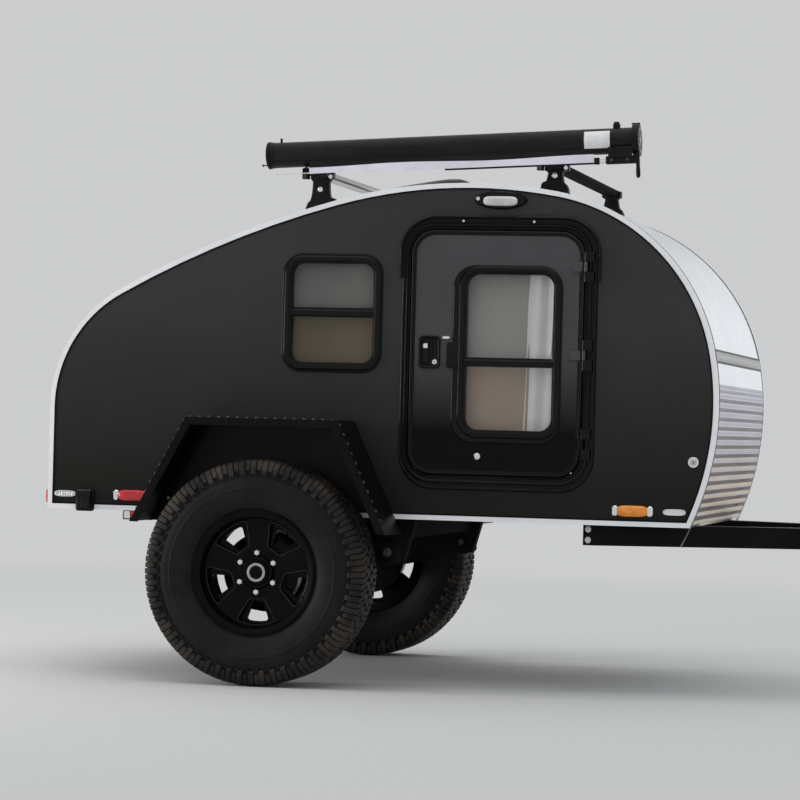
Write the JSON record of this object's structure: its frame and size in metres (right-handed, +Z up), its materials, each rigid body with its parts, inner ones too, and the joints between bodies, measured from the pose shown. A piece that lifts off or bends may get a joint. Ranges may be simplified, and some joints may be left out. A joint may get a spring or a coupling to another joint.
{
  "type": "teardrop trailer",
  "caption": "Small teardrop camping trailer with curved roof, side doors, rear galley hatch, roof rack with rolled awning, off-road wheels and a tongue jack.",
  "frame": {"origin": "on the ground under the middle of the bounding box", "axes": "+X forward towards the coupler, +Y to the left side, +Z up"},
  "size_m": [3.581, 2.115, 2.037],
  "materials": {
    "black_frame": "satin black powder coat",
    "charcoal_wall": "satin charcoal laminate skin",
    "bright_aluminium": "bright plain sheet",
    "ribbed_aluminium": "bright ribbed stone guard sheet",
    "trim": "bright anodised moulding",
    "gloss_black": "gloss black",
    "black_plastic": "matt black",
    "tinted_glass": "grey tinted",
    "wood": "varnished birch plywood",
    "mattress_cloth": "woven cotton",
    "rubber": "matt rubber",
    "tyre": "matt tread rubber",
    "rim_black": "gloss black",
    "zinc": "zinc plated",
    "chrome": "polished",
    "amber": "translucent amber",
    "red": "translucent red",
    "awning_cloth": "black coated cloth"
  },
  "bodies": {
    "trailer": {"rails": "black_frame", "crossmembers": "black_frame", "axle_beam": "black_frame", "trailing_arms": "black_frame", "springs": "rubber", "drawbar": "black_frame", "coupler": "zinc", "jack_tube": "black_frame", "floor_board": "wood", "wall_right": "charcoal_wall", "wall_left": "charcoal_wall", "roof_panel": "bright_aluminium", "front_guard": "ribbed_aluminium", "rear_sill": "bright_aluminium", "galley": "wood", "mattress": "mattress_cloth", "edge_trims": "trim", "hatch_hinge": "trim", "door_frames": "gloss_black", "side_windows": "gloss_black", "side_glass": "tinted_glass", "porch_lamps": "chrome", "amber_markers": "amber", "red_markers": "red", "tail_lamps": "red", "side_fittings": "chrome", "power_inlet": "black_plastic", "fenders": "black_frame", "rack_feet": "black_plastic", "crossbars": "black_frame", "awning_case": "awning_cloth", "awning_ends": "black_plastic", "awning_brackets": "black_frame", "vent_base": "black_plastic"},
    "wheel_right": {"rim_right": "rim_black", "tyre_right": "tyre"},
    "wheel_left": {"rim_left": "rim_black", "tyre_left": "tyre"},
    "door_right": {"door_right": "gloss_black", "door_window_right": "gloss_black", "door_glass_right": "tinted_glass", "door_latch_right": "black_plastic"},
    "door_left": {"door_left": "gloss_black", "door_window_left": "gloss_black", "door_glass_left": "tinted_glass", "door_latch_left": "black_plastic"},
    "hatch": {"hatch": "bright_aluminium", "hatch_handle": "black_plastic"},
    "vent_lid": {"vent_lid": "black_plastic"},
    "jack_leg": {"jack_leg": "zinc"}
  },
  "joints": [
    {"name": "wheel_right_spin", "type": "hinge", "parent": "trailer", "child": "wheel_right", "pos_m": [-0.8995, -0.925, 0.4015], "axis": [0, 1, 0], "continuous": true},
    {"name": "wheel_left_spin", "type": "hinge", "parent": "trailer", "child": "wheel_left", "pos_m": [-0.8995, 0.925, 0.4015], "axis": [0, 1, 0], "continuous": true},
    {"name": "door_right_swing", "type": "hinge", "parent": "trailer", "child": "door_right", "pos_m": [0.2205, -0.776, 1.2], "axis": [0, 0, 1], "range_deg": [0, 110]},
    {"name": "door_left_swing", "type": "hinge", "parent": "trailer", "child": "door_left", "pos_m": [0.2205, 0.776, 1.2], "axis": [0, 0, -1], "range_deg": [0, 110]},
    {"name": "hatch_lift", "type": "hinge", "parent": "trailer", "child": "hatch", "pos_m": [-0.9995, 0, 1.647], "axis": [0, 1, 0], "range_deg": [0, 85]},
    {"name": "vent_lift", "type": "hinge", "parent": "trailer", "child": "vent_lid", "pos_m": [-0.3145, 0, 1.815], "axis": [0, 1, 0], "range_deg": [0, 60]},
    {"name": "jack_slide", "type": "slide", "parent": "trailer", "child": "jack_leg", "axis": [0, 0, 1], "range_m": [0, 0.25]}
  ]
}
